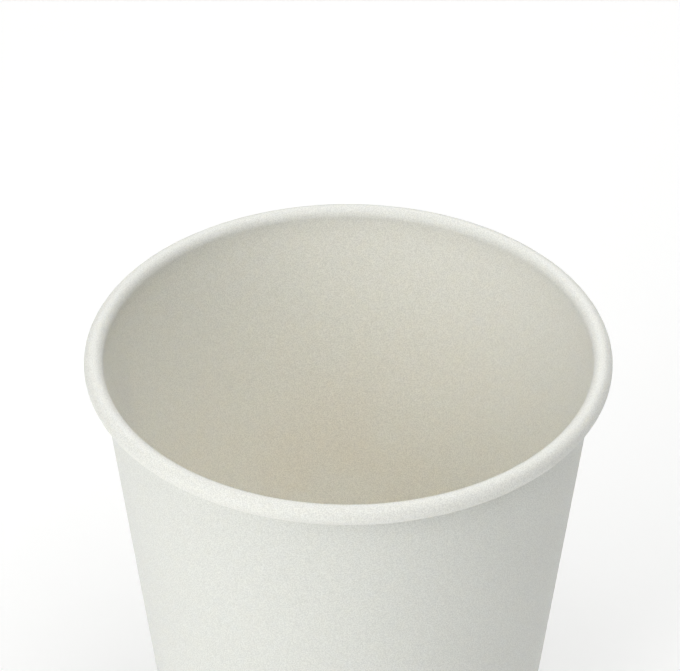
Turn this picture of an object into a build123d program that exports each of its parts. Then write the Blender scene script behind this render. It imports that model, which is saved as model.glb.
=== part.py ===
from build123d import *
import math
import os

# Single-wall paper coffee cup of the 12 oz (about 360 ml) size.
#
# The cup is made of two pieces of board. The sidewall is one fan-shaped blank, wrapped into a cone
# and sealed along a lap seam. Its top edge is curled outwards into a round rim bead, and its bottom
# edge is folded in and up into a hem. The base disc has its edge turned down into a skirt, and the
# skirt is sealed between the wall and the hem. The cup stands on the pressed flat of the fold.
#
# Frame: millimetres, +Z up along the cup's axis, origin at the centre of the circle that the cup
# stands on. Angles are in degrees, measured from +X towards +Y. The seam lies near -X.

# Overall size
CUP_HEIGHT = 110.0
RIM_RADIUS = 45.0  # outermost radius of the rim bead
BEAD_RADIUS = 1.65  # half the thickness of the rim bead
BASE_RADIUS = 30.0  # the wall's outer cone, carried down to the standing plane
WALL_RADIUS_AT_BEAD = 42.36  # the wall's outer cone, carried up to the bead's centre

# Board
WALL_BOARD = 0.40
BASE_BOARD = 0.32
SEAL_GAP = 0.01  # clearance left on each face of the sealed skirt

# Rim bead: the sheet turns through BEAD_TURN at the bead's full radius and then tucks in
BEAD_TURN = 250.0
TUCK_TURN = 130.0
TUCK_RADIUS = 1.30

# Hem at the foot of the wall
HEM_HEIGHT = 7.5
FOLD_RADIUS = 0.05  # inside radius of each corner of the fold

# Lap seam: two layers of board on the wall, pressed to a single thickness at the foot and rim
SEAM_START = 162.0  # the inner layer's raw edge
LAP_ANGLE = 10.0
RAMP_ANGLE = 6.0  # where the sheet climbs from the inner layer to the outer one
RAMP_STEPS = 5
SINGLE_SECTORS = 4  # how many faces the single layer is divided into around the cup
PRESSED_FOOT = 14.0  # height where the two layers reach their full thickness
PRESSED_RIM = 96.0  # height where they start to thin again

# Base disc
DISC_TOP = 10.0  # height of the disc's upper face
SKIRT_FOOT = 0.75  # height of the skirt's raw edge
DISC_CORNER = 0.30  # inside radius of the disc's bend

# Worked out from the sizes above
bead_centre_r = RIM_RADIUS - BEAD_RADIUS
bead_centre_z = CUP_HEIGHT - BEAD_RADIUS
taper = math.atan((WALL_RADIUS_AT_BEAD - BASE_RADIUS) / bead_centre_z)
lining_foot = BASE_RADIUS - WALL_BOARD / math.cos(taper)  # the wall's inner cone at z = 0
skirt_gap = BASE_BOARD + 2 * SEAL_GAP


def lining_radius(z):
    """Radius of the wall's inner cone at height z."""
    return lining_foot + z * math.tan(taper)


def turn(centre, radius, start, sweep):
    """The ends and middle of an arc, as three (r, z) points. Angles are in degrees."""
    points = []
    for share in (0.0, 0.5, 1.0):
        angle = math.radians(start + share * sweep)
        points.append((centre[0] + radius * math.cos(angle), centre[1] + radius * math.sin(angle)))
    return points


def sheet_side(depth, climb):
    """One face of the sheet's section, from the hem's raw edge round to the bead's raw edge.

    The face lies at distance depth outside the sheet's inner face. On the middle of the wall it lies
    further out by climb. Returns a list of runs: two points for a straight run, three for an arc.
    """
    cone = math.degrees(taper)
    corner_z = WALL_BOARD + FOLD_RADIUS
    outer_corner = (lining_radius(corner_z) - FOLD_RADIUS / math.cos(taper), corner_z)
    inner_corner = (outer_corner[0] - (skirt_gap - 2 * FOLD_RADIUS) / math.cos(taper), corner_z)
    inner_fold = turn(inner_corner, FOLD_RADIUS + depth, 180 - cone, 90 + cone)
    outer_fold = turn(outer_corner, FOLD_RADIUS + depth, 270, 90 - cone)
    hem_rise = HEM_HEIGHT - inner_fold[0][1]
    hem_top = (inner_fold[0][0] + hem_rise * math.tan(taper), HEM_HEIGHT)

    wall_offset = (depth + climb) / math.cos(taper)
    foot = (lining_radius(PRESSED_FOOT) + wall_offset, PRESSED_FOOT)
    rim = (lining_radius(PRESSED_RIM) + wall_offset, PRESSED_RIM)

    # The wall turns upright in a long arc that ends where the bead starts.
    upright_r = bead_centre_r - BEAD_RADIUS
    knee_z = (upright_r - lining_foot) / math.tan(taper)
    blend_radius = (bead_centre_z - knee_z) / math.tan(taper / 2)
    blend = turn((upright_r - blend_radius, bead_centre_z), blend_radius + depth, -cone, cone)

    bead = turn((bead_centre_r, bead_centre_z), BEAD_RADIUS - depth, 180, -BEAD_TURN)
    tuck_start = 180 - BEAD_TURN
    inset = BEAD_RADIUS - TUCK_RADIUS
    tuck_centre = turn((bead_centre_r, bead_centre_z), inset, tuck_start, 0)[0]
    tuck = turn(tuck_centre, TUCK_RADIUS - depth, tuck_start, -TUCK_TURN)
    return [
        [hem_top, inner_fold[0]],
        inner_fold,
        [inner_fold[2], outer_fold[0]],
        outer_fold,
        [outer_fold[2], foot],
        [foot, rim],
        [rim, blend[0]],
        blend,
        bead,
        tuck,
    ]


def section_edges(low_climb, high_climb, angle):
    """The edges of the sheet's section in the half plane at that angle, in order round the section.

    low_climb moves the inner face of the wall outwards, and high_climb its outer face.
    """
    inner = sheet_side(0, low_climb)
    outer = sheet_side(WALL_BOARD, high_climb)
    bead_edge = [inner[-1][-1], outer[-1][-1]]
    hem_edge = [outer[0][0], inner[0][0]]
    edges = []
    for run in [*inner, bead_edge, *outer[::-1], hem_edge]:
        points = [Vector(r, 0, z) for r, z in run]
        edge = Edge.make_line(*points) if len(run) == 2 else Edge.make_three_point_arc(*points)
        edges.append(edge.rotate(Axis.Z, angle))
    return edges


def turned_faces(edges, sweep):
    """Faces swept by the section's edges as they turn about the cup's axis."""
    return [Face.revolve(edge, sweep, Axis.Z) for edge in edges]


def step_face(low_climb, high_climb, depth, angle):
    """The raw edge of one layer at the lap: the strip between two places of one face of the wall."""
    edges = []
    for climb in (low_climb, high_climb):
        for run in sheet_side(depth, climb)[4:7]:
            edges.append(Edge.make_line(*[Vector(r, 0, z) for r, z in run]).rotate(Axis.Z, angle))
    return Face(Wire(edges))


def ease(share):
    """Smooth climb from 0 to 1 with level ends."""
    return share * share * (3 - 2 * share)


def make_sidewall():
    """The wrapped blank: a single layer, the ramp where it climbs, and the two layers of the lap."""
    lap_end = SEAM_START + LAP_ANGLE
    ramp_start = SEAM_START - RAMP_ANGLE
    faces = []

    sector = (360 - LAP_ANGLE - RAMP_ANGLE) / SINGLE_SECTORS
    for number in range(SINGLE_SECTORS):
        faces += turned_faces(section_edges(0, 0, lap_end + number * sector), sector)

    stations = []
    for step in range(RAMP_STEPS + 1):
        share = step / RAMP_STEPS
        climb = WALL_BOARD * ease(share)
        stations.append(section_edges(climb, climb, ramp_start + share * RAMP_ANGLE))
    for near, far in zip(stations, stations[1:]):
        faces += [Face.make_surface_from_curves(a, b) for a, b in zip(near, far)]

    faces += turned_faces(section_edges(0, WALL_BOARD, SEAM_START), LAP_ANGLE)
    faces.append(step_face(0, WALL_BOARD, 0, SEAM_START))
    faces.append(step_face(0, WALL_BOARD, WALL_BOARD, lap_end))
    return Solid(Shell(faces))


def make_base_disc():
    """The disc with its skirt turned down, one closed round piece."""
    lean = math.tan(taper)
    skirt_outer = lining_radius(0) - SEAL_GAP / math.cos(taper)
    skirt_inner = skirt_outer - BASE_BOARD / math.cos(taper)
    underside = DISC_TOP - BASE_BOARD
    outline = Polyline(
        (0, underside),
        (0, DISC_TOP),
        (skirt_outer + DISC_TOP * lean, DISC_TOP),
        (skirt_outer + SKIRT_FOOT * lean, SKIRT_FOOT),
        (skirt_inner + SKIRT_FOOT * lean, SKIRT_FOOT),
        (skirt_inner + underside * lean, underside),
        close=True,
    )
    section = make_face(outline)
    for height, radius in ((DISC_TOP, DISC_CORNER + BASE_BOARD), (underside, DISC_CORNER)):
        bend = section.vertices().filter_by(lambda v: v.X > 1 and abs(v.Y - height) < 1e-6)
        section = fillet(bend, radius)
    return revolve(Plane.XZ * section, Axis.Z, 360)


os.makedirs("parts", exist_ok=True)
sidewall = make_sidewall()
base_disc = make_base_disc()
export_step(sidewall, "parts/sidewall.step")
export_step(base_disc, "parts/base_disc.step")
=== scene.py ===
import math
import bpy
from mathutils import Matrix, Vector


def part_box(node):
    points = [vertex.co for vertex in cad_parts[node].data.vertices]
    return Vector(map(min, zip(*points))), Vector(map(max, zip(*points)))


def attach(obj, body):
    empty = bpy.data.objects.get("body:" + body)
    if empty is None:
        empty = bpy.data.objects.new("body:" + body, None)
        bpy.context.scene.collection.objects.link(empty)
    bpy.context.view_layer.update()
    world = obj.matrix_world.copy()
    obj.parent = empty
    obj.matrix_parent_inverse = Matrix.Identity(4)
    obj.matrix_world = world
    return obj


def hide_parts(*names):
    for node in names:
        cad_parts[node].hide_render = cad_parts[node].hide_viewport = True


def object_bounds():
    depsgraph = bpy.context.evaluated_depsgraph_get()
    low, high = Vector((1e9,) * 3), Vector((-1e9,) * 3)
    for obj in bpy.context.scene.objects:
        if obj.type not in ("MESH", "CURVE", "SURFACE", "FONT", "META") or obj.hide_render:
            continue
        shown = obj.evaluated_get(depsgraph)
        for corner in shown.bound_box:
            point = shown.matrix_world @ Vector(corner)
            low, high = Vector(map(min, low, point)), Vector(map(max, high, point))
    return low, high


bl_info = {
    "name": "Paper Coffee Cup",
    "version": (1, 0, 0),
    "blender": (4, 5, 0),
    "location": "View3D > Sidebar > Cup",
    "description": "Builds the board of a single-wall paper cup, its finishes and a plain stage",
    "category": "Add Mesh",
}

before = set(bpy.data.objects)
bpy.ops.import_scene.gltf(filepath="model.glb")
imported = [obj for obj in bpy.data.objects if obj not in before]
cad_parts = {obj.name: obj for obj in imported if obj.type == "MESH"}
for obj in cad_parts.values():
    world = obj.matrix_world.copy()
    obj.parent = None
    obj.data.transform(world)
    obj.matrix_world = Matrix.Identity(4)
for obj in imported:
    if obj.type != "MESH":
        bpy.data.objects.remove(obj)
CAD_LOW, CAD_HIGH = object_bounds()

import bpy
import numpy as np
from bpy.props import FloatProperty, FloatVectorProperty, IntProperty, PointerProperty
from mathutils import Vector

# Metres, +Z up along the cup's axis, with the origin at the centre of the circle it stands on.
# Angles are measured from +X towards +Y. The lap seam lies near -X.

RIM_RADIUS = min(CAD_HIGH.x, CAD_HIGH.y, -CAD_LOW.x, -CAD_LOW.y)
DISC_FOOT, DISC_TOP = (corner.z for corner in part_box("base_disc"))

# Where each lamp stands: degrees round from the front towards +X, and degrees above the table
LAMP_PLACES = {
    "front_left": (-45.0, 20.0),
    "overhead": (0.0, 68.0),
    "high_right": (60.0, 68.0),
    "behind": (180.0, 45.0),
}

# Points along each run of the sheet's section, from the hem's raw edge to the bead's raw edge
RUN_POINTS = {
    "hem": 8,
    "inner_fold": 4,
    "standing_flat": 2,
    "outer_fold": 4,
    "foot": 13,
    "wall": 6,
    "rim": 3,
    "blend": 7,
    "bead": 27,
    "tuck": 11,
}
FIRST_QUARTER_POINTS = 9  # the bead's points before its top

# Columns of the wall in each stretch of a full turn, from the lap's end round to the lap's end
TURN_COLUMNS = {
    "past_lap": 8,
    "single_layer": 540,
    "ramp": 10,
    "lap": 12,
    "lap_end": 8,
}
DENT_REACH = math.radians(1.5)  # how far each side of the lap's end the dent needs finer columns
STEP_HALF_ANGLE = math.radians(0.01)  # half the width of the step at a layer's raw edge
SHARP_ANGLE = math.radians(40.0)

# The lining's look fades over this part of the bead, in bead radii below and above its centre
LINING_FADE_BELOW = 0.5
LINING_FADE_ABOVE = 0.6

# Heights on the hem between which the knurls lie, and over which they run out
KNURL_LOW = 0.0012
KNURL_HIGH = 0.0066
KNURL_EDGE = 0.001

# Points along the runs of the disc's section, and columns round it
DISC_FLAT_POINTS = 22
DISC_OUTER_BEND_POINTS = 12
DISC_INNER_BEND_POINTS = 9
DISC_SKIRT_POINTS = 12
DISC_COLUMNS = 480

# The puckers lie on a ring this far inside the bend's start, this wide and this far down
PUCKER_INSET = 0.0006
PUCKER_WIDTH = 0.0009
PUCKER_REACH_DOWN = 0.0005
# Waves that make their spacing uneven: size, waves in a full turn, and start, in radians
PUCKER_WAVES = ((0.35, 7.0, 0.0), (0.25, 13.0, 1.0))

# How much the fibres add to the grain's height
FIBRE_SHARE = 0.35
# The tooth's noise below which a pit is full, and above which there is none
PIT_FULL = 0.38
PIT_NONE = 0.62
# The cloud's noise at which a patch starts, and at which it is full
CLOUD_START = 0.35
CLOUD_FULL = 0.65
# Share of the painted bounce light, a warm tint deep in the cup, that the lining keeps between the
# cloudy patches
LEAST_PAINTED_BOUNCE = 0.35
# How dark the fibres are in the raw edge, against its core
DARK_FIBRE = 0.78
# How far red, green and blue light spread inside the board, against its spread
COLOUR_SPREAD = (1.0, 0.93, 0.80)
# Sockets of a colour mix node, whose names repeat
MIX_FACTOR, MIX_FIRST, MIX_SECOND = 0, 6, 7
MIX_RESULT = 2

FLOOR_RINGS = 20
FLOOR_SPOKES = 96
LAMP_AIM_SHARE = 0.64  # the lamps face a point at this share of the cup's height


# ---------------------------------------------------------------------------------------------
# Properties
# ---------------------------------------------------------------------------------------------


def length(name, description, default):
    """A length in metres."""
    return FloatProperty(
        name=name, description=description, default=default, min=0.0, precision=5, unit="LENGTH"
    )


def turned(name, description, degrees):
    """An angle, given in degrees and kept in radians."""
    return FloatProperty(
        name=name, description=description, default=math.radians(degrees), subtype="ANGLE"
    )


def share(name, description, default):
    """A number from 0 to 1."""
    return FloatProperty(
        name=name, description=description, default=default, min=0.0, max=1.0, subtype="FACTOR"
    )


def colour(name, description, default):
    """A scene-linear colour."""
    return FloatVectorProperty(
        name=name, description=description, default=default, size=3, min=0.0, max=1.0, subtype="COLOR"
    )


def power(name, description, default):
    """The strength of a light. The four lamps are in watts."""
    return FloatProperty(name=name, description=description, default=default, min=0.0)


class CupSizes(bpy.types.PropertyGroup):
    """Sizes of the board, of its bends and of the marks that forming leaves in it."""

    height: length("Height", "Standing plane to the top of the bead", CAD_HIGH.z)
    rim_radius: length("Rim radius", "Axis to the outermost line of the bead", RIM_RADIUS)
    bead_radius: length("Bead radius", "Half the thickness of the rim bead", 0.00165)
    base_radius: length("Base radius", "The outer cone, carried down to the standing plane", 0.030)
    wall_radius: length("Wall radius", "The outer cone, carried up to the bead's centre", 0.04236)
    wall_board: length("Wall board", "Thickness of the wall's board", 0.0004)
    base_board: length("Base board", "Thickness of the base's board", 0.00032)
    seal_gap: length("Seal gap", "Clearance on each face of the sealed skirt", 0.00001)

    bead_lining: share("Bead lining", "How far the rolled bead keeps the lined face's look", 0.55)
    bead_turn: turned("Bead turn", "Turn of the sheet at the bead's full radius", 250.0)
    tuck_turn: turned("Tuck turn", "Further turn of the tucked edge", 130.0)
    tuck_radius: length("Tuck radius", "Radius of the tucked edge", 0.0013)
    hem_height: length("Hem height", "Height of the hem's raw edge", 0.0075)
    fold_radius: length("Fold radius", "Inside radius of each corner of the fold", 0.00005)

    seam_start: turned("Seam start", "Place of the inner layer's raw edge", 162.0)
    lap_angle: turned("Lap", "Width of the two layers", 10.0)
    ramp_angle: turned("Ramp", "Width of the climb from the inner layer to the outer one", 6.0)
    pressed_foot: length("Pressed foot", "Height where the layers reach full thickness", 0.014)
    pressed_rim: length("Pressed rim", "Height where the layers start to thin again", 0.096)
    seam_dent: length("Seam dent", "Depth of the dent that the seam leaves across the bead", 0.00009)
    seam_dent_angle: turned("Seam dent width", "Half width of that dent", 0.4)

    band_low: length("Band foot", "Foot of the band that the sealing roller presses", 0.0012)
    band_high: length("Band top", "Top of the band that the sealing roller presses", 0.0085)
    band_edge: length("Band edge", "Height over which the band runs out", 0.0014)
    band_depth: length("Band depth", "Depth of the pressed band on the outside", 0.00005)
    knurl_depth: length("Knurl depth", "Depth of the roller's marks on the hem", 0.0001)
    knurls: IntProperty(name="Knurls", description="Marks around the hem", default=72, min=1)

    disc_corner: length("Disc corner", "Inside radius of the disc's bend", 0.0003)
    disc_sag: length("Disc sag", "How far the middle of the disc lies below its edge", 0.00025)
    pleat_depth: length("Pleat depth", "Depth of the puckers around the disc's bend", 0.00004)
    pleats: IntProperty(name="Pleats", description="Puckers around the disc", default=60, min=1)


class CupFinish(bpy.types.PropertyGroup):
    """Colours and textures of the board."""

    outside: colour("Outside", "Bare outer face of the board", (0.80, 0.812, 0.768))
    inside: colour("Inside", "Lined inner face of the board", (0.935, 0.932, 0.872))
    core: colour("Core", "Raw cut edge of the board", (0.72, 0.68, 0.58))
    # The next three set painted bounce light: a warmer, slightly darker tint of the lined face deep in
    # the cup, where light bouncing inside the cup warms it
    painted_bounce: colour("Warmth", "Tint of the lined face deep in the cup", (0.935, 0.900, 0.815))
    painted_bounce_top: length("Warm top", "Height where the warm tint starts, going down", 0.098)
    painted_bounce_foot: length("Warm foot", "Height where the warm tint is full", 0.052)
    outside_roughness: share("Outside roughness", "Roughness of the bare face", 0.58)
    inside_roughness: share("Inside roughness", "Roughness of the lined face", 0.46)
    lining_gloss: share("Lining gloss", "Strength of the lining's clear coat", 0.12)
    tooth_size: length("Tooth size", "Size of the board's fine grain", 0.0002)
    tooth_contrast: share("Tooth contrast", "How far the grain darkens the colour", 0.17)
    fibre_size: length("Fibre size", "Size of the faint fibres", 0.0016)
    cloud_size: length("Cloud size", "Size of the cloudy patches in the board", 0.022)
    tooth_height: length("Tooth height", "Depth of the grain", 0.00002)
    see_through: share("Light through", "Share of light that spreads inside the board", 0.6)
    spread: length("Spread", "How far light spreads inside the board", 0.0004)


class CupStage(bpy.types.PropertyGroup):
    """Camera, floor and lights."""

    view_distance: length("Distance", "Camera to the middle of the rim", 0.598)
    view_elevation: turned("Elevation", "Height of the camera above the rim", 36.23)
    aim_left: length("Aim left", "How far left of the rim's middle the camera looks", 0.00141)
    aim_above: length("Aim above", "How far above the rim's middle the camera looks", 0.00334)
    view_lens: FloatProperty(name="Lens", description="Focal length, mm", default=185.8, min=1.0)

    floor_radius: length("Floor radius", "Radius of the round floor", 3.0)
    floor_colour: colour("Floor colour", "Colour of the floor", (0.95, 0.95, 0.945))
    floor_glow: power("Floor glow", "Light that the lit table gives off", 0.13)
    light_distance: length("Light distance", "Middle of the cup to each light", 1.15)
    light_size: length("Light size", "Side of each square light", 1.0)
    front_left: power("Front left", "Power of the low key light", 7.8)
    overhead: power("Overhead", "Power of the high front light", 4.9)
    high_right: power("High right", "Power of the high light on the right", 4.8)
    behind: power("Behind", "Power of the light behind the cup", 6.6)
    ambient: power("Ambient", "Strength of the light from the room itself", 0.0)
    backdrop: power("Backdrop", "Brightness of the room where the camera sees it", 0.97)


# ---------------------------------------------------------------------------------------------
# Section of the sheet
# ---------------------------------------------------------------------------------------------


def straight(start, end, count):
    """Points spaced evenly from start to end: start plus a share of the way, from 0 to 1."""
    way = np.linspace(0.0, 1.0, count)[:, None]
    return (1.0 - way) * np.array(start) + way * np.array(end)


def arc(centre, radius, start, sweep, count):
    """Points on a circle: centre plus radius times the cosine and sine of an even sweep."""
    angle = start + sweep * np.linspace(0.0, 1.0, count)
    return np.array(centre) + radius * np.stack([np.cos(angle), np.sin(angle)], axis=1)


def eased(value, low, high):
    """Smooth step: 0 up to low, 1 from high, and 3 t squared less 2 t cubed between them."""
    t = np.clip((value - low) / (high - low), 0.0, 1.0)
    return t * t * (3.0 - 2.0 * t)


def window(value, low, high, edge):
    """1 between low and high, falling to 0 by a smooth step over edge, inside each end."""
    return eased(value, low, low + edge) * (1.0 - eased(value, high - edge, high))


def cone(sizes):
    """The wall's taper, and the radius of its inner cone at the standing plane."""
    rise = sizes.height - sizes.bead_radius
    taper = math.atan((sizes.wall_radius - sizes.base_radius) / rise)
    return taper, sizes.base_radius - sizes.wall_board / math.cos(taper)


def sheet_side(sizes, depth, climb):
    """One face of the sheet's section as (r, z) points, and the name of the run each belongs to.

    The runs join end to end: hem, fold, standing flat, fold, the straight cone, a long arc that
    turns upright, the bead's arc, and the tighter arc of the tucked edge. Every run lies at the
    distance depth outside the sheet's inner face, and the cone lies further out by climb.
    """
    taper, lining_foot = cone(sizes)
    lean = math.tan(taper)
    fold = sizes.fold_radius
    corner_z = sizes.wall_board + fold
    outer_corner = (lining_foot + corner_z * lean - fold / math.cos(taper), corner_z)
    skirt_gap = sizes.base_board + 2.0 * sizes.seal_gap
    inner_corner = (outer_corner[0] - (skirt_gap - 2.0 * fold) / math.cos(taper), corner_z)
    quarter = math.pi / 2

    count = RUN_POINTS
    inner_fold = arc(
        inner_corner, fold + depth, math.pi - taper, quarter + taper, count["inner_fold"]
    )
    outer_fold = arc(
        outer_corner, fold + depth, 3.0 * quarter, quarter - taper, count["outer_fold"]
    )
    hem_top = (inner_fold[0][0] + (sizes.hem_height - inner_fold[0][1]) * lean, sizes.hem_height)

    offset = (depth + climb) / math.cos(taper)
    foot = (lining_foot + sizes.pressed_foot * lean + offset, sizes.pressed_foot)
    rim = (lining_foot + sizes.pressed_rim * lean + offset, sizes.pressed_rim)

    bead_r = sizes.rim_radius - sizes.bead_radius
    bead_z = sizes.height - sizes.bead_radius
    upright_r = bead_r - sizes.bead_radius
    knee_z = (upright_r - lining_foot) / lean
    blend_radius = (bead_z - knee_z) / math.tan(taper / 2.0)
    blend = arc(
        (upright_r - blend_radius, bead_z), blend_radius + depth, -taper, taper, count["blend"]
    )

    bead = arc(
        (bead_r, bead_z), sizes.bead_radius - depth, math.pi, -sizes.bead_turn, count["bead"]
    )
    tuck_start = math.pi - sizes.bead_turn
    inset = sizes.bead_radius - sizes.tuck_radius
    tuck_centre = (bead_r + inset * math.cos(tuck_start), bead_z + inset * math.sin(tuck_start))
    tuck = arc(
        tuck_centre, sizes.tuck_radius - depth, tuck_start, -sizes.tuck_turn, count["tuck"]
    )
    runs = {
        "hem": straight(hem_top, inner_fold[0], count["hem"]),
        "inner_fold": inner_fold,
        "standing_flat": straight(inner_fold[-1], outer_fold[0], count["standing_flat"]),
        "outer_fold": outer_fold,
        "foot": straight(outer_fold[-1], foot, count["foot"]),
        "wall": straight(foot, rim, count["wall"]),
        "rim": straight(rim, blend[0], count["rim"]),
        "blend": blend,
        "bead": bead,
        "tuck": tuck,
    }
    points = [run[:-1] for run in runs.values()] + [tuck[-1:]]
    names = [name for name, run in runs.items() for _ in range(len(run) - 1)] + ["tuck"]
    return np.concatenate(points), np.array(names)


# ---------------------------------------------------------------------------------------------
# Meshes
# ---------------------------------------------------------------------------------------------


def grid_quads(rows, columns, wrap_rows):
    """Corner numbers of the quads of a grid whose columns close on themselves."""
    last = rows if wrap_rows else rows - 1
    row, column = np.meshgrid(np.arange(last), np.arange(columns), indexing="ij")
    below = (row + 1) % rows
    right = (column + 1) % columns
    corners = [row * columns + column, row * columns + right, below * columns + right,
               below * columns + column]
    return np.stack(corners, axis=-1).reshape(-1, 4)


def new_piece(name, vertices, quads, fans, materials, material_numbers):
    """A mesh object at the origin, from arrays of vertices, quads and triangles.

    material_numbers gives each quad's material. The triangles take the first one.
    """
    corners = np.concatenate([quads.ravel(), fans.ravel()]).astype(np.int32)
    totals = np.concatenate([np.full(len(quads), 4), np.full(len(fans), 3)]).astype(np.int32)
    starts = np.concatenate([[0], np.cumsum(totals)[:-1]]).astype(np.int32)
    numbers = np.concatenate([material_numbers, np.zeros(len(fans))]).astype(np.int32)

    mesh = bpy.data.meshes.new(name)
    mesh.vertices.add(len(vertices))
    mesh.loops.add(len(corners))
    mesh.polygons.add(len(totals))
    mesh.vertices.foreach_set("co", vertices.astype(np.float32).ravel())
    mesh.loops.foreach_set("vertex_index", corners)
    mesh.polygons.foreach_set("loop_start", starts)
    mesh.polygons.foreach_set("loop_total", totals)
    for material in materials:
        mesh.materials.append(material)
    mesh.polygons.foreach_set("material_index", numbers)
    mesh.polygons.foreach_set("use_smooth", np.ones(len(totals), dtype=bool))
    mesh.update(calc_edges=True)
    if mesh.validate():
        raise RuntimeError(f"{name}: its mesh had faults that Blender had to mend")
    mesh.set_sharp_from_angle(angle=SHARP_ANGLE)

    piece = bpy.data.objects.new(name, mesh)
    bpy.context.scene.collection.objects.link(piece)
    return piece


def set_point_values(piece, name, values):
    """Stores one number per vertex as a named attribute of the piece."""
    attribute = piece.data.attributes.new(name, "FLOAT", "POINT")
    attribute.data.foreach_set("value", values.astype(np.float32).ravel())


def seam_columns(sizes):
    """Angles of the wall's columns and, at each, how far both faces have climbed, from 0 to 1.

    Single-layer columns are even, with a few more beside the lap. Both faces climb by a smooth step
    over the ramp. At the inner raw edge the inner face drops back, and at the lap's end the outer
    face does. Each drop lies between two columns that are almost at one angle.
    """
    ramp = sizes.seam_start - sizes.ramp_angle
    lap_end = sizes.seam_start + sizes.lap_angle
    near = DENT_REACH
    tiny = STEP_HALF_ANGLE
    turn = 2.0 * math.pi
    count = TURN_COLUMNS
    inner_edge = sizes.seam_start + turn
    angles = [
        np.linspace(lap_end + tiny, lap_end + near, count["past_lap"], endpoint=False),
        np.linspace(lap_end + near, ramp + turn, count["single_layer"], endpoint=False),
        np.linspace(ramp + turn, inner_edge - tiny, count["ramp"]),
        np.linspace(inner_edge + tiny, lap_end + turn - near, count["lap"], endpoint=False),
        np.linspace(lap_end + turn - near, lap_end + turn - tiny, count["lap_end"]),
    ]
    angle = np.concatenate(angles)
    climb = eased(angle, ramp + turn, ramp + turn + sizes.ramp_angle)
    inner_climb = np.where(angle > inner_edge, 0.0, climb)
    return angle, inner_climb, climb


def sidewall_surface(sizes):
    """Vertices of the wrapped blank as a grid of section points by angles.

    Each section point is the low section plus the column's climb times the difference to the raised
    one, turned about the axis: x is r cos a, y is r sin a. Three marks are added to r and z: the
    roller's band, which presses the outside in; the hem's knurls, a raised cosine of the angle; and
    the seam's dent, a bell curve of the angle, which moves the bead's skin towards its centre.
    """
    angle, inner_climb, outer_climb = seam_columns(sizes)
    sides = []
    for depth, climb in ((0.0, inner_climb), (sizes.wall_board, outer_climb)):
        low, names = sheet_side(sizes, depth, 0.0)
        high, _ = sheet_side(sizes, depth, sizes.wall_board)
        sides.append(low[:, None, :] + climb[None, :, None] * (high - low)[:, None, :])
    inner, outer = sides

    r, z = outer[..., 0], outer[..., 1]
    on_wall = np.isin(names, ["foot", "wall"])[:, None]
    band = on_wall * window(z, sizes.band_low, sizes.band_high, sizes.band_edge)
    on_hem = (names == "hem")[:, None]
    marks = 0.5 + 0.5 * np.cos(sizes.knurls * angle)
    knurl = on_hem * window(z, KNURL_LOW, KNURL_HIGH, KNURL_EDGE) * marks
    outer[..., 0] = r - sizes.band_depth * band + sizes.knurl_depth * knurl

    lap_end = sizes.seam_start + sizes.lap_angle + 2.0 * math.pi
    away = (angle - lap_end + math.pi) % (2.0 * math.pi) - math.pi
    dent = np.exp(-((away / sizes.seam_dent_angle) ** 2))[None, :, None]
    bead_centre = np.array([sizes.rim_radius - sizes.bead_radius, sizes.height - sizes.bead_radius])
    inward = bead_centre - inner
    inward = inward / np.linalg.norm(inward, axis=-1, keepdims=True)
    on_bead = (names == "bead")[:, None, None]
    inner += sizes.seam_dent * dent * on_bead * inward

    section = np.concatenate([inner, outer[::-1]])
    r, z = section[..., 0], section[..., 1]
    grid = np.stack([r * np.cos(angle), r * np.sin(angle), z], axis=-1)
    return grid, names, angle


def lining_share(names, height, sizes):
    """How much each section point shows the lined face: 1 inside the cup, less over the bead.

    The share eases down over the bead's rising side, and the rest of the bead keeps bead_lining.
    """
    bead_z = sizes.height - sizes.bead_radius
    fade_low = bead_z - LINING_FADE_BELOW * sizes.bead_radius
    fade_high = bead_z + LINING_FADE_ABOVE * sizes.bead_radius
    rise = eased(height, fade_low, fade_high)
    past_top = np.cumsum(names == "bead") > FIRST_QUARTER_POINTS
    thinned = np.where(past_top, 1.0, rise)
    return 1.0 - (1.0 - sizes.bead_lining) * thinned


def make_sidewall(sizes, materials):
    """The wall, its bead, its hem and its lap seam as one closed piece."""
    grid, names, angle = sidewall_surface(sizes)
    rows, columns = grid.shape[:2]
    side = len(names)
    quads = grid_quads(rows, columns, wrap_rows=True)[:, ::-1]

    row = np.arange(rows)[:, None]
    column = np.arange(columns)[None, :]
    bead_edge = row == side - 1
    hem_edge = row == rows - 1
    gap = (np.roll(angle, -1) - angle) % (2.0 * math.pi)
    # a raw edge's two columns lie two half angles apart, and all others much further
    step = (gap < 3.0 * STEP_HALF_ANGLE)[None, :]
    on_cone = np.isin(np.concatenate([names, names[::-1]]), ["foot", "wall", "rim"])[:, None]
    cut = bead_edge | hem_edge | (step & on_cone)
    numbers = np.broadcast_to(cut, (rows, columns)).astype(int).ravel()

    no_fans = np.zeros((0, 3), dtype=int)
    piece = new_piece("cup_wall", grid.reshape(-1, 3), quads, no_fans, materials, numbers)
    lined = lining_share(names, grid[:side, 0, 2], sizes)
    lined = np.concatenate([lined, np.zeros(side)])
    set_point_values(piece, "lining", np.repeat(lined[:, None], columns, axis=1))
    return piece


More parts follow.
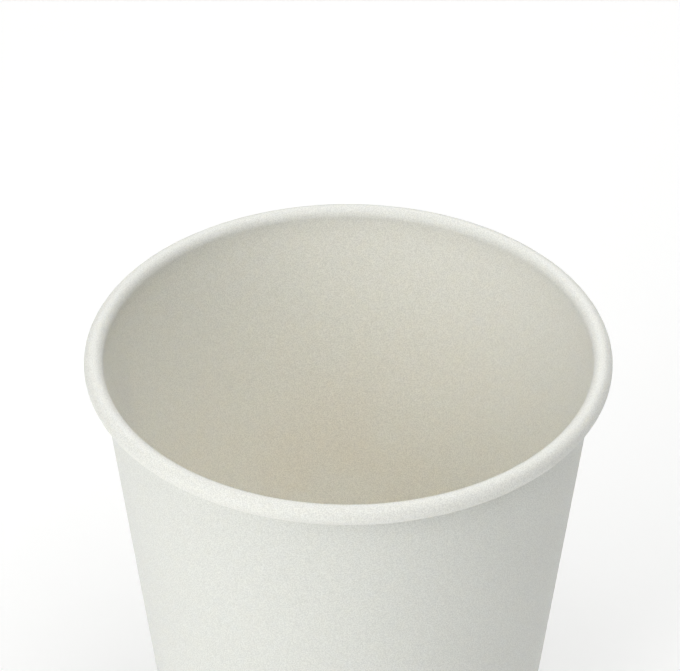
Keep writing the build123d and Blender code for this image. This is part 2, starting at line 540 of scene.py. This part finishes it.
def disc_section(sizes):
    """The disc's closed section from the middle of its top, round the skirt, to its underside.

    Both faces follow the same line: flat, a quarter turn less the taper, and the leaning skirt.
    The turn's radius is larger by the board's thickness on the outside.
    """
    taper, lining_foot = cone(sizes)
    lean = math.tan(taper)
    board = sizes.base_board
    outer_foot = lining_foot - sizes.seal_gap / math.cos(taper)
    inner_foot = outer_foot - board / math.cos(taper)
    corner = sizes.disc_corner + board
    bend_z = DISC_TOP - corner
    bend_r = outer_foot + bend_z * lean - corner / math.cos(taper)
    turn = math.pi / 2 + taper
    flat_shares = np.linspace(0.0, 1.0, DISC_FLAT_POINTS, endpoint=False)[1:, None]

    outside = arc((bend_r, bend_z), corner, math.pi / 2, -turn, DISC_OUTER_BEND_POINTS)
    inside = arc((bend_r, bend_z), sizes.disc_corner, -taper, turn, DISC_INNER_BEND_POINTS)
    top = flat_shares * np.array([bend_r, 0.0]) + np.array([0.0, DISC_TOP])
    under = flat_shares[::-1] * np.array([bend_r, 0.0]) + np.array([0.0, DISC_TOP - board])
    outer_end = (outer_foot + DISC_FOOT * lean, DISC_FOOT)
    inner_end = (inner_foot + DISC_FOOT * lean, DISC_FOOT)
    outer_skirt = straight(outside[-1], outer_end, DISC_SKIRT_POINTS)[1:]
    inner_skirt = straight(inner_end, inside[0], DISC_SKIRT_POINTS)[:-1]
    section = np.concatenate([top, outside, outer_skirt, inner_skirt, inside, under])
    foot_row = len(top) + len(outside) + len(outer_skirt) - 1
    return section, foot_row, bend_r


def make_base_disc(sizes, materials):
    """The recessed disc and its skirt as one closed piece.

    The section turns about the axis. The middle sags by a share that falls with the square of the
    radius, and the bend is puckered by a cosine of the angle inside a bell curve of the radius. The
    waves shift that cosine a little, so that the puckers aren't evenly spaced.
    """
    section, foot_row, bend_r = disc_section(sizes)
    angle = np.linspace(0.0, 2.0 * math.pi, DISC_COLUMNS, endpoint=False)
    r = np.repeat(section[:, :1], len(angle), axis=1)
    z = np.repeat(section[:, 1:], len(angle), axis=1)
    flat = np.clip(1.0 - (r / bend_r) ** 2, 0.0, 1.0)
    wobble = sum(size * np.sin(waves * angle + start) for size, waves, start in PUCKER_WAVES)
    pucker = 0.5 + 0.5 * np.cos(sizes.pleats * angle + wobble)
    ring = np.exp(-(((r - bend_r + PUCKER_INSET) / PUCKER_WIDTH) ** 2))
    reach = ring * (z > DISC_TOP - PUCKER_REACH_DOWN)
    z = z - sizes.disc_sag * flat - sizes.pleat_depth * pucker * reach

    grid = np.stack([r * np.cos(angle), r * np.sin(angle), z], axis=-1)
    rows, columns = grid.shape[:2]
    quads = grid_quads(rows, columns, wrap_rows=False)
    top_pole = rows * columns
    around = np.arange(columns)
    onward = (around + 1) % columns
    last_row = (rows - 1) * columns
    top_fan = np.stack([np.full(columns, top_pole), onward, around], axis=1)
    under_pole = np.full(columns, top_pole + 1)
    under_fan = np.stack([under_pole, last_row + around, last_row + onward], axis=1)
    middle = DISC_TOP - sizes.disc_sag
    poles = np.array([[0.0, 0.0, middle], [0.0, 0.0, middle - sizes.base_board]])
    vertices = np.concatenate([grid.reshape(-1, 3), poles])

    row_of_quad = np.repeat(np.arange(rows - 1), columns)
    numbers = (row_of_quad == foot_row).astype(int)
    fans = np.concatenate([top_fan, under_fan])
    piece = new_piece("cup_base", vertices, quads[:, ::-1], fans[:, ::-1], materials, numbers)
    lined_rows = np.arange(rows) <= foot_row
    lined = np.repeat(lined_rows[:, None], columns, axis=1).ravel()
    set_point_values(piece, "lining", np.concatenate([lined, [1.0, 0.0]]))
    return piece


# ---------------------------------------------------------------------------------------------
# Materials
# ---------------------------------------------------------------------------------------------


def value_input(group, name, default):
    """Adds a number input to a node group."""
    socket = group.interface.new_socket(name, in_out="INPUT", socket_type="NodeSocketFloat")
    socket.default_value = default


def board_grain_group():
    """Node group of the board's grain: a height, a mask for the pits and a mask for cloudy patches."""
    group = bpy.data.node_groups.new("Board Grain", "ShaderNodeTree")
    group.interface.new_socket("Vector", in_out="INPUT", socket_type="NodeSocketVector")
    value_input(group, "Tooth Scale", 2000.0)
    value_input(group, "Fibre Scale", 600.0)
    value_input(group, "Cloud Scale", 40.0)
    for name in ("Height", "Pits", "Clouds"):
        group.interface.new_socket(name, in_out="OUTPUT", socket_type="NodeSocketFloat")

    nodes, links = group.nodes, group.links
    start = nodes.new("NodeGroupInput")
    end = nodes.new("NodeGroupOutput")

    tooth = nodes.new("ShaderNodeTexNoise")
    tooth.inputs["Detail"].default_value = 1.5
    tooth.inputs["Roughness"].default_value = 0.55
    fibre = nodes.new("ShaderNodeTexNoise")
    fibre.inputs["Detail"].default_value = 2.0
    fibre.inputs["Distortion"].default_value = 1.2
    cloud = nodes.new("ShaderNodeTexNoise")
    cloud.inputs["Detail"].default_value = 2.0
    for node, scale in ((tooth, "Tooth Scale"), (fibre, "Fibre Scale"), (cloud, "Cloud Scale")):
        links.new(start.outputs["Vector"], node.inputs["Vector"])
        links.new(start.outputs[scale], node.inputs["Scale"])

    height = nodes.new("ShaderNodeMath")
    height.operation = "MULTIPLY_ADD"
    height.inputs[1].default_value = FIBRE_SHARE
    links.new(fibre.outputs["Fac"], height.inputs[0])
    links.new(tooth.outputs["Fac"], height.inputs[2])
    links.new(height.outputs["Value"], end.inputs["Height"])

    pits = nodes.new("ShaderNodeMapRange")
    pits.inputs["From Min"].default_value = PIT_NONE
    pits.inputs["From Max"].default_value = PIT_FULL
    links.new(tooth.outputs["Fac"], pits.inputs["Value"])
    links.new(pits.outputs["Result"], end.inputs["Pits"])

    clouds = nodes.new("ShaderNodeMapRange")
    clouds.interpolation_type = "SMOOTHSTEP"
    clouds.inputs["From Min"].default_value = CLOUD_START
    clouds.inputs["From Max"].default_value = CLOUD_FULL
    links.new(cloud.outputs["Fac"], clouds.inputs["Value"])
    links.new(clouds.outputs["Result"], end.inputs["Clouds"])
    return group


def mix_colours(tree, factor, first, second):
    """Mix of two colours by a factor socket. Each colour is a socket or three numbers."""
    mix = tree.nodes.new("ShaderNodeMix")
    mix.data_type = "RGBA"
    tree.links.new(factor, mix.inputs[MIX_FACTOR])
    for number, value in ((MIX_FIRST, first), (MIX_SECOND, second)):
        if isinstance(value, bpy.types.NodeSocket):
            tree.links.new(value, mix.inputs[number])
        else:
            mix.inputs[number].default_value = (*value, 1.0)
    return mix.outputs[MIX_RESULT]


def range_of(tree, value, low, high):
    """Maps a socket from 0..1 to low..high."""
    node = tree.nodes.new("ShaderNodeMapRange")
    node.inputs["To Min"].default_value = low
    node.inputs["To Max"].default_value = high
    tree.links.new(value, node.inputs["Value"])
    return node.outputs["Result"]


def height_mask(tree, empty_height, full_height):
    """A mask by height on the piece: 0 at one height, 1 at the other, and a smooth step between."""
    place = tree.nodes.new("ShaderNodeTexCoord")
    parts = tree.nodes.new("ShaderNodeSeparateXYZ")
    mask = tree.nodes.new("ShaderNodeMapRange")
    mask.interpolation_type = "SMOOTHSTEP"
    mask.inputs["From Min"].default_value = empty_height
    mask.inputs["From Max"].default_value = full_height
    tree.links.new(place.outputs["Object"], parts.inputs["Vector"])
    tree.links.new(parts.outputs["Z"], mask.inputs["Value"])
    return mask.outputs["Result"]


def start_material(name, grain_group, finish):
    """A material with a Principled shader and the board's grain. Returns tree, shader and grain."""
    material = bpy.data.materials.new(name)
    material.use_nodes = True
    tree = material.node_tree
    shader = tree.nodes["Principled BSDF"]
    place = tree.nodes.new("ShaderNodeTexCoord")
    grain = tree.nodes.new("ShaderNodeGroup")
    grain.node_tree = grain_group
    grain.inputs["Tooth Scale"].default_value = 1.0 / finish.tooth_size
    grain.inputs["Fibre Scale"].default_value = 1.0 / finish.fibre_size
    grain.inputs["Cloud Scale"].default_value = 1.0 / finish.cloud_size
    tree.links.new(place.outputs["Object"], grain.inputs["Vector"])

    bump = tree.nodes.new("ShaderNodeBump")
    bump.inputs["Strength"].default_value = 0.6
    bump.inputs["Distance"].default_value = finish.tooth_height
    tree.links.new(grain.outputs["Height"], bump.inputs["Height"])
    tree.links.new(bump.outputs["Normal"], shader.inputs["Normal"])
    return material, tree, shader, grain


def board_material(grain_group, finish):
    """White board, bare outside and lined inside. The piece's lining attribute picks the face. Deep in
    the cup the lined face carries painted bounce light, a warmer tint, patchy by the clouds.
    """
    material, tree, shader, grain = start_material("white_cup_board", grain_group, finish)
    lining = tree.nodes.new("ShaderNodeAttribute")
    lining.attribute_name = "lining"
    lined = lining.outputs["Fac"]

    # painted bounce light: a warm tint of the lined face that grows deeper in the cup, patchy by the
    # cloud noise
    depth = height_mask(tree, finish.painted_bounce_top, finish.painted_bounce_foot)
    clouded = range_of(tree, grain.outputs["Clouds"], LEAST_PAINTED_BOUNCE, 1.0)
    painted_bounce = tree.nodes.new("ShaderNodeMath")
    painted_bounce.operation = "MULTIPLY"
    tree.links.new(depth, painted_bounce.inputs[0])
    tree.links.new(clouded, painted_bounce.inputs[1])
    inside = mix_colours(tree, painted_bounce.outputs["Value"], finish.inside, finish.painted_bounce)
    base = mix_colours(tree, lined, finish.outside, inside)
    darkening = range_of(tree, grain.outputs["Pits"], 0.0, finish.tooth_contrast)
    toothed = mix_colours(tree, darkening, base, (0.0, 0.0, 0.0))
    tree.links.new(toothed, shader.inputs["Base Color"])

    rough = range_of(tree, lined, finish.outside_roughness, finish.inside_roughness)
    tree.links.new(rough, shader.inputs["Roughness"])
    coat = range_of(tree, lined, 0.0, finish.lining_gloss)
    tree.links.new(coat, shader.inputs["Coat Weight"])
    shader.inputs["Coat Roughness"].default_value = 0.35
    shader.inputs["Specular IOR Level"].default_value = 0.35
    shader.inputs["Subsurface Weight"].default_value = finish.see_through
    shader.inputs["Subsurface Scale"].default_value = finish.spread
    shader.inputs["Subsurface Radius"].default_value = COLOUR_SPREAD
    return material


def cut_edge_material(grain_group, finish):
    """Raw cut edge: the board's warmer, rougher core, darker in its fibres."""
    material, tree, shader, grain = start_material("raw_board_edge", grain_group, finish)
    dark = tuple(DARK_FIBRE * channel for channel in finish.core)
    fibres = mix_colours(tree, grain.outputs["Pits"], finish.core, dark)
    tree.links.new(fibres, shader.inputs["Base Color"])
    rough = range_of(tree, grain.outputs["Clouds"], 0.8, 0.95)
    tree.links.new(rough, shader.inputs["Roughness"])
    shader.inputs["Specular IOR Level"].default_value = 0.25
    return material


def cup_materials(finish):
    """The board and its cut edge, made once and shared by both pieces.

    Their names differ from the frame's own materials, which are named after the record's slots.
    """
    board = bpy.data.materials.get("white_cup_board")
    edge = bpy.data.materials.get("raw_board_edge")
    if board is None or edge is None:
        grain_group = board_grain_group()
        board = board_material(grain_group, finish)
        edge = cut_edge_material(grain_group, finish)
    return [board, edge]


# ---------------------------------------------------------------------------------------------
# Stage
# ---------------------------------------------------------------------------------------------


def make_floor(stage):
    """A round, flat, softly lit floor: rings of points at r cos a, r sin a in the standing plane."""
    material = bpy.data.materials.new("stage_floor")
    material.use_nodes = True
    shader = material.node_tree.nodes["Principled BSDF"]
    shader.inputs["Base Color"].default_value = (*stage.floor_colour, 1.0)
    shader.inputs["Roughness"].default_value = 0.9
    shader.inputs["Specular IOR Level"].default_value = 0.1
    shader.inputs["Emission Color"].default_value = (1.0, 1.0, 0.995, 1.0)
    shader.inputs["Emission Strength"].default_value = stage.floor_glow

    rings, spokes = FLOOR_RINGS, FLOOR_SPOKES
    radius = stage.floor_radius * np.linspace(1.0 / rings, 1.0, rings)[:, None]
    angle = np.linspace(0.0, 2.0 * math.pi, spokes, endpoint=False)[None, :]
    height = np.full((rings, spokes), CAD_LOW.z)
    grid = np.stack([radius * np.cos(angle), radius * np.sin(angle), height], axis=-1)
    around = np.arange(spokes)
    fan = np.stack([np.full(spokes, rings * spokes), around, (around + 1) % spokes], axis=1)
    vertices = np.concatenate([grid.reshape(-1, 3), [[0.0, 0.0, CAD_LOW.z]]])
    quads = grid_quads(rings, spokes, wrap_rows=False)[:, ::-1]
    return new_piece("stage_floor", vertices, quads, fan, [material], np.zeros(len(quads)))


def make_lamp(name, power_watts, stage):
    """A square lamp on a sphere round the cup's middle, facing it."""
    middle = Vector((0.0, 0.0, LAMP_AIM_SHARE * CAD_HIGH.z))
    round_angle, lift = (math.radians(angle) for angle in LAMP_PLACES[name])
    outward = Vector((
        math.sin(round_angle) * math.cos(lift),
        -math.cos(round_angle) * math.cos(lift),
        math.sin(lift),
    ))
    light = bpy.data.lights.new(name, "AREA")
    light.shape = "SQUARE"
    light.size = stage.light_size
    light.energy = power_watts
    lamp = bpy.data.objects.new(name, light)
    lamp.location = middle + stage.light_distance * outward
    lamp.rotation_euler = (-outward).to_track_quat("-Z", "Y").to_euler()
    bpy.context.scene.collection.objects.link(lamp)


def make_room(stage):
    """A room that the camera sees as a bright backdrop, and that lights the cup by ambient."""
    world = bpy.data.worlds.new("room")
    world.use_nodes = True
    nodes, links = world.node_tree.nodes, world.node_tree.links
    background = nodes["Background"]
    seen = nodes.new("ShaderNodeLightPath")
    strength = nodes.new("ShaderNodeMapRange")
    strength.inputs["To Min"].default_value = stage.ambient
    strength.inputs["To Max"].default_value = stage.backdrop
    links.new(seen.outputs["Is Camera Ray"], strength.inputs["Value"])
    links.new(strength.outputs["Result"], background.inputs["Strength"])
    background.inputs["Color"].default_value = (1.0, 1.0, 1.0, 1.0)
    bpy.context.scene.world = world


def make_camera(stage, sizes):
    """The camera in front of the cup, above its rim, aimed a little beside the rim's middle."""
    bead_centre = Vector((0.0, 0.0, sizes.height - sizes.bead_radius))
    lift = stage.view_elevation
    back = Vector((0.0, -math.cos(lift), math.sin(lift)))
    right = Vector((1.0, 0.0, 0.0))
    above = back.cross(right)
    aim = bead_centre - stage.aim_left * right + stage.aim_above * above
    data = bpy.data.cameras.new("camera")
    data.lens = stage.view_lens
    data.sensor_width = 36.0
    data.clip_start, data.clip_end = 0.01, 20.0
    camera = bpy.data.objects.new("camera", data)
    camera.location = bead_centre + stage.view_distance * back
    camera.rotation_euler = (aim - camera.location).to_track_quat("-Z", "Y").to_euler()
    bpy.context.scene.collection.objects.link(camera)
    bpy.context.scene.camera = camera


# ---------------------------------------------------------------------------------------------
# Operators and panel
# ---------------------------------------------------------------------------------------------


class CUP_OT_sidewall(bpy.types.Operator):
    """Make the wall with its bead, hem and lap seam"""

    bl_idname = "cup.make_sidewall"
    bl_label = "Make Sidewall"

    def execute(self, context):
        scene = context.scene
        piece = make_sidewall(scene.cup_sizes, cup_materials(scene.cup_finish))
        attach(piece, "root")
        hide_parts("sidewall")
        return {"FINISHED"}


class CUP_OT_base_disc(bpy.types.Operator):
    """Make the recessed base disc with its skirt"""

    bl_idname = "cup.make_base_disc"
    bl_label = "Make Base Disc"

    def execute(self, context):
        scene = context.scene
        piece = make_base_disc(scene.cup_sizes, cup_materials(scene.cup_finish))
        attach(piece, "root")
        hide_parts("base_disc")
        return {"FINISHED"}


class CUP_OT_stage(bpy.types.Operator):
    """Make the floor, the lights, the room and the camera"""

    bl_idname = "cup.make_stage"
    bl_label = "Make Stage"

    def execute(self, context):
        scene = context.scene
        stage = scene.cup_stage
        make_floor(stage)

        for name in LAMP_PLACES:
            make_lamp(name, getattr(stage, name), stage)
        make_room(stage)
        scene.view_settings.view_transform = "Standard"
        make_camera(stage, scene.cup_sizes)
        return {"FINISHED"}


class CUP_PT_panel(bpy.types.Panel):
    """The cup's sizes, finishes and stage, with a button for each piece"""

    bl_idname = "CUP_PT_panel"
    bl_label = "Paper Coffee Cup"
    bl_space_type = "VIEW_3D"
    bl_region_type = "UI"
    bl_category = "Cup"

    def draw(self, context):
        layout = self.layout
        for operator in (CUP_OT_sidewall, CUP_OT_base_disc, CUP_OT_stage):
            layout.operator(operator.bl_idname)
        for group in (context.scene.cup_sizes, context.scene.cup_finish, context.scene.cup_stage):
            box = layout.box()
            for name in group.bl_rna.properties.keys():
                if name not in {"rna_type", "name"}:
                    box.prop(group, name)


CLASSES = (
    CupSizes,
    CupFinish,
    CupStage,
    CUP_OT_sidewall,
    CUP_OT_base_disc,
    CUP_OT_stage,
    CUP_PT_panel,
)


def register():
    for each in CLASSES:
        bpy.utils.register_class(each)
    bpy.types.Scene.cup_sizes = PointerProperty(type=CupSizes)
    bpy.types.Scene.cup_finish = PointerProperty(type=CupFinish)
    bpy.types.Scene.cup_stage = PointerProperty(type=CupStage)


def unregister():
    del bpy.types.Scene.cup_stage
    del bpy.types.Scene.cup_finish
    del bpy.types.Scene.cup_sizes
    for each in reversed(CLASSES):
        bpy.utils.unregister_class(each)


def main():
    register()
    bpy.ops.cup.make_sidewall()
    bpy.ops.cup.make_base_disc()
    bpy.ops.cup.make_stage()


if __name__ == "__main__":
    main()
